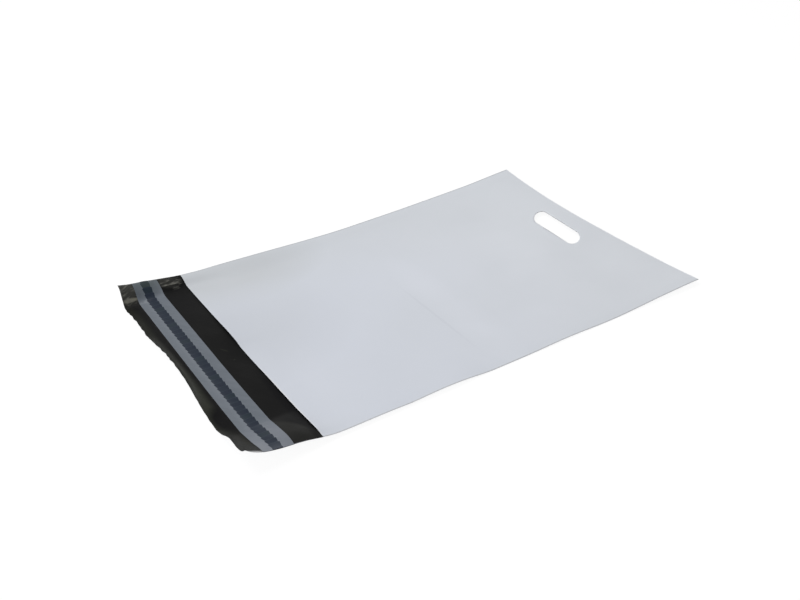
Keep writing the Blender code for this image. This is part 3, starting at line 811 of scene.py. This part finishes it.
class Surface:
    """Principled material with the few node helpers that the finishes here need."""

    def __init__(self, name, colour, roughness, specular):
        self.material = bpy.data.materials.new(name)
        self.material.use_nodes = True
        self.tree = self.material.node_tree
        self.shader = self.tree.nodes["Principled BSDF"]
        self.shader.inputs["Base Color"].default_value = (*colour, 1.0)
        self.shader.inputs["Roughness"].default_value = roughness
        self.shader.inputs["Specular IOR Level"].default_value = specular
        self.material.diffuse_color = (*colour, 1.0)
        self.coordinates = self.tree.nodes.new("ShaderNodeTexCoord")

    def node(self, kind, **values):
        made = self.tree.nodes.new(kind)
        for key, value in values.items():
            made.inputs[key].default_value = value
        return made

    def texture(self, texture, mapping):
        self.tree.links.new(self.coordinates.outputs["Object"], mapping.inputs["Vector"])
        self.tree.links.new(mapping.outputs["Vector"], texture.inputs["Vector"])
        return texture

    def mapping(self, place, sizes, degrees):
        """Coordinates laid out at a place, with the given sizes and turn."""
        made = self.node("ShaderNodeMapping", Location=place, Scale=sizes,
                         Rotation=(0.0, 0.0, math.radians(degrees)))
        made.vector_type = "TEXTURE"
        return made

    def noise(self, scale, detail, longer=1.0, degrees=0.0):
        """Noise in cycles per metre, drawn out so many times in the given direction."""
        mapping = self.mapping((0.0, 0.0, 0.0), (longer, 1.0, 1.0), degrees)
        made = self.node("ShaderNodeTexNoise", Scale=scale, Detail=detail)
        return self.texture(made, mapping).outputs["Fac"]

    def spot(self, along, across, half_along, half_across, degrees=0.0):
        """Soft oval on the bag: 1 in its middle, 0 from its edge outwards."""
        mapping = self.mapping(shifted(lying_point(along, across, 0.0)),
                               (half_along, half_across, 1.0), degrees)
        made = self.tree.nodes.new("ShaderNodeTexGradient")
        made.gradient_type = "SPHERICAL"
        return self.texture(made, mapping).outputs["Fac"]

    def ramp(self, along, across, width, degrees):
        """From 0 at a line through the place to 1 past the given width, in one direction."""
        mapping = self.mapping(shifted(lying_point(along, across, 0.0)), (width, 1.0, 1.0),
                               degrees)
        return self.texture(self.node("ShaderNodeTexGradient"), mapping).outputs["Fac"]

    def spread(self, value, low=NOISE_LOW, high=NOISE_HIGH, out_low=0.0, out_high=1.0):
        """The value moved from one span to another, and kept inside it."""
        ranged = self.node("ShaderNodeMapRange")
        for key, number in (("From Min", low), ("From Max", high),
                            ("To Min", out_low), ("To Max", out_high)):
            ranged.inputs[key].default_value = number
        self.tree.links.new(value, ranged.inputs["Value"])
        return ranged.outputs["Result"]

    def times(self, first, second):
        product = self.tree.nodes.new("ShaderNodeMath")
        product.operation = "MULTIPLY"
        self.tree.links.new(first, product.inputs[0])
        self.tree.links.new(second, product.inputs[1])
        return product.outputs["Value"]

    def tint(self, factor, colour):
        """Blend the colour so far into another one."""
        mix = self.tree.nodes.new("ShaderNodeMix")
        mix.data_type = "RGBA"
        inputs = {socket.identifier: socket for socket in mix.inputs}
        outputs = {socket.identifier: socket for socket in mix.outputs}
        base = self.shader.inputs["Base Color"]
        if base.is_linked:
            self.tree.links.new(base.links[0].from_socket, inputs["A_Color"])
        else:
            inputs["A_Color"].default_value = base.default_value
        inputs["B_Color"].default_value = (*colour, 1.0)
        self.tree.links.new(factor, inputs["Factor_Float"])
        self.tree.links.new(outputs["Result_Color"], base)

    def roughen(self, value):
        self.tree.links.new(value, self.shader.inputs["Roughness"])

    def bump(self, value, distance):
        """Bump, laid over the bumps so far."""
        made = self.node("ShaderNodeBump", Distance=distance, Strength=1.0)
        self.tree.links.new(value, made.inputs["Height"])
        normal = self.shader.inputs["Normal"]
        if normal.is_linked:
            self.tree.links.new(normal.links[0].from_socket, made.inputs["Normal"])
        self.tree.links.new(made.outputs["Normal"], normal)

    def draw_lines(self):
        lines = self.noise(DRAW_LINES, 2.0, longer=DRAW_LINE_LENGTH)
        self.bump(lines, DRAW_LINE_DEPTH)


def outside_material():
    """Pale grey satin film with painted broad light and shade, lighter and bluer towards the near
    side, painted light and shade at the cross fold, a painted highlight along the mouth's cut
    edge, and fine lengthwise draw lines.
    """
    surface = Surface("pale_film", PALE_BASE, roughness=0.42, specular=0.30)
    # painted light and shade of the pale film
    for along, across, half_along, half_across, edge, colour in PALE_FILM_PAINTED_LIGHT:
        mark = surface.spot(along, across, half_along, half_across)
        surface.tint(surface.spread(mark, 0.0, edge), colour)
    clouds = surface.noise(scale=7.0, detail=3.0)
    surface.tint(surface.spread(clouds, low=0.45, high=0.75, out_high=0.3), PALE_CLOUDS)
    surface.roughen(surface.spread(surface.noise(22.0, 4.0), out_low=0.38, out_high=0.48))
    surface.draw_lines()
    surface.bump(surface.noise(scale=1400.0, detail=2.0), distance=0.000012)
    return surface.material


def weld_material():
    """Side weld: the same film, pressed flatter and a little greyer."""
    surface = Surface("welded_film", WELD_BASE, roughness=0.34, specular=0.30)
    beads = surface.noise(scale=500.0, detail=2.0)
    surface.tint(surface.spread(beads), WELD_LIGHT)
    surface.bump(beads, distance=0.00005)
    return surface.material


def inside_material():
    """Black inner face of the film, with painted olive sheen on the curled margin, painted light
    and shade in its marks, and crumpled at the far end with painted highlights on the crinkles.
    """
    surface = Surface("black_film", BLACK_BASE, roughness=0.36, specular=0.08)
    surface.tint(surface.spread(surface.noise(scale=16.0, detail=3.0)), BLACK_LIGHT)
    flap = surface.spread(surface.spot(*FLAP_INNER), 0.0, FLAP_FULL)
    surface.tint(surface.times(flap, surface.ramp(*FLAP_LIGHT)), FLAP_COLOUR)
    # marks of the black film, most of them painted light, shade and highlights
    for along, across, half_along, half_across, degrees, colour in BLACK_FILM_MARKS_AND_PAINTED_LIGHT:
        mark = surface.spot(along, across, half_along, half_across, degrees)
        surface.tint(surface.spread(mark, 0.0, MARK_FULL), colour)
    for along, across, half_along, half_across, degrees in CRUMPLED:
        oval = surface.spot(along, across, half_along, half_across)
        mask = surface.spread(oval, 0.0, CRUMPLE_FULL)
        # painted highlights on the crinkles' streaks, with bumps from the same streaks
        streaks = surface.noise(scale=340.0, detail=5.0, longer=4.5, degrees=degrees)
        lit = surface.spread(streaks, low=0.48, high=0.68)
        surface.tint(surface.times(mask, lit), CRUMPLE_HIGHLIGHT_COLOUR)
        surface.bump(surface.times(mask, streaks), CRUMPLE_DEPTH)
    surface.roughen(surface.spread(surface.noise(40.0, 4.0), out_low=0.32, out_high=0.44))
    waves = surface.noise(scale=60.0, detail=3.0, longer=2.2, degrees=BLACK_WAVES)
    surface.bump(waves, distance=0.0004)
    surface.draw_lines()
    return surface.material


def glue_material():
    """Hot-melt glue: clear, slightly blue over black film."""
    surface = Surface("hot_glue", GLUE_BASE, roughness=0.25, specular=0.4)
    drag = surface.noise(scale=260.0, detail=3.0, longer=5.0, degrees=GLUE_DRAG)
    surface.tint(surface.spread(drag), GLUE_LIGHT)
    surface.bump(drag, distance=0.0001)
    return surface.material


def liner_material(name, dark, light, specular):
    """Frosted release film, with faint streaks of the glue's lay."""
    surface = Surface(name, dark, roughness=0.40, specular=specular)
    drag = surface.noise(scale=220.0, detail=3.0, longer=4.5, degrees=GLUE_DRAG)
    surface.tint(surface.spread(drag), light)
    # painted light on the liner's near end, and its duller far end
    for along, across, half_along, half_across, loose, stuck, colour in LINER_ENDS:
        end = surface.spot(along, across, half_along, half_across)
        amount = loose if name == LINER_TONES[LINER_LOOSE][0] else stuck
        surface.tint(surface.spread(end, 0.0, LINER_END_FULL, out_high=amount), colour)
    surface.roughen(surface.spread(surface.noise(50.0, 3.0), out_low=0.34, out_high=0.44))
    surface.bump(drag, distance=0.00004)
    return surface.material


def seen_directly(tree):
    """1 for what the camera sees, straight on or mirrored or through something, else 0."""
    path = tree.nodes.new("ShaderNodeLightPath")
    seen = path.outputs["Is Camera Ray"]
    for ray in ("Is Glossy Ray", "Is Transmission Ray"):
        either = tree.nodes.new("ShaderNodeMath")
        either.operation = "MAXIMUM"
        tree.links.new(seen, either.inputs[0])
        tree.links.new(path.outputs[ray], either.inputs[1])
        seen = either.outputs[0]
    return seen


def floor_material():
    """White where it is seen, with a soft shadow, and plain diffuse in the light it gives."""
    material = bpy.data.materials.new("studio_floor")
    material.use_nodes = True
    tree = material.node_tree
    tree.nodes.clear()
    output = tree.nodes.new("ShaderNodeOutputMaterial")
    glow = tree.nodes.new("ShaderNodeEmission")
    glow.inputs["Strength"].default_value = FLOOR_GLOW
    glow.inputs["Color"].default_value = (1.0, 1.0, 1.0, 1.0)
    veil = tree.nodes.new("ShaderNodeBsdfDiffuse")
    veil.inputs["Color"].default_value = (FLOOR_VEIL, FLOOR_VEIL, FLOOR_VEIL, 1.0)
    both = tree.nodes.new("ShaderNodeAddShader")
    tree.links.new(glow.outputs[0], both.inputs[0])
    tree.links.new(veil.outputs[0], both.inputs[1])
    plain = tree.nodes.new("ShaderNodeBsdfDiffuse")
    plain.inputs["Color"].default_value = (FLOOR_PLAIN, FLOOR_PLAIN, FLOOR_PLAIN, 1.0)
    choose = tree.nodes.new("ShaderNodeMixShader")
    tree.links.new(seen_directly(tree), choose.inputs[0])
    tree.links.new(plain.outputs[0], choose.inputs[1])
    tree.links.new(both.outputs[0], choose.inputs[2])
    tree.links.new(choose.outputs[0], output.inputs["Surface"])
    return material


def add_floor():
    mesh = bpy.data.meshes.new("studio_floor")
    corners = [(x * FLOOR_HALF, y * FLOOR_HALF, -FLOOR_DROP)
               for x, y in ((-1, -1), (1, -1), (1, 1), (-1, 1))]
    mesh.from_pydata(corners, [], [(0, 1, 2, 3)])
    mesh.materials.append(floor_material())
    floor = bpy.data.objects.new("studio_floor", mesh)
    bpy.context.scene.collection.objects.link(floor)


def add_world():
    """Even room light."""
    world = bpy.data.worlds.new("studio_room")
    world.use_nodes = True
    bpy.context.scene.world = world
    background = world.node_tree.nodes["Background"]
    background.inputs["Color"].default_value = (1.0, 1.0, 1.0, 1.0)
    background.inputs["Strength"].default_value = ROOM_LIGHT


def add_lamp(name, place, width, height, power):
    """Rectangular lamp that faces the bag and isn't seen itself."""
    data = bpy.data.lights.new(name, "AREA")
    data.shape = "RECTANGLE"
    data.size = width
    data.size_y = height
    data.energy = power
    lamp = bpy.data.objects.new(name, data)
    lamp.location = place
    lamp.rotation_euler = (-Vector(place)).to_track_quat("-Z", "Y").to_euler()
    lamp.visible_camera = False
    bpy.context.scene.collection.objects.link(lamp)


def add_camera():
    """Camera from its place and the directions of the picture's right and top."""
    right = Vector(CAMERA_RIGHT).normalized()
    up = Vector(CAMERA_UP)
    back = right.cross(up).normalized()
    up = back.cross(right)
    data = bpy.data.cameras.new("photo_camera")
    data.lens = CAMERA_LENS
    data.sensor_width = CAMERA_SENSOR
    data.clip_start = CAMERA_CLIP
    camera = bpy.data.objects.new("photo_camera", data)
    turn = Matrix((right, up, back)).transposed().to_4x4()
    camera.matrix_world = Matrix.Translation(Vector(CAMERA_PLACE)) @ turn
    bpy.context.scene.collection.objects.link(camera)
    bpy.context.scene.camera = camera


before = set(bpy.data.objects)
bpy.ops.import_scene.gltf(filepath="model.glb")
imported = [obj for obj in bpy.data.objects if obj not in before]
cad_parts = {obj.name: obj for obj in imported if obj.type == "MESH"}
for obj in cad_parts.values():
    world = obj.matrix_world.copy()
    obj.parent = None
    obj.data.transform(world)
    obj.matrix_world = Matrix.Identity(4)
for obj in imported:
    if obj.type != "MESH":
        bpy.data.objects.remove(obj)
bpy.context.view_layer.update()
bpy.context.scene.view_settings.view_transform = "Standard"

add_camera()
add_floor()
add_world()
for lamp_values in LAMPS:
    add_lamp(*lamp_values)

mailer = build_film((outside_material(), inside_material(), weld_material()))
cut_slot(mailer)
glue = build_glue(glue_material())
liner = build_liner([liner_material(*tone) for tone in LINER_TONES])

for piece, node, slot in ((mailer, "film_bag", "film_outside"),
                          (glue, "adhesive_strip", "hot_melt_glue"),
                          (liner, "release_liner", "liner_film")):
    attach(piece, "root")
    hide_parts(node)

bpy.context.view_layer.update()
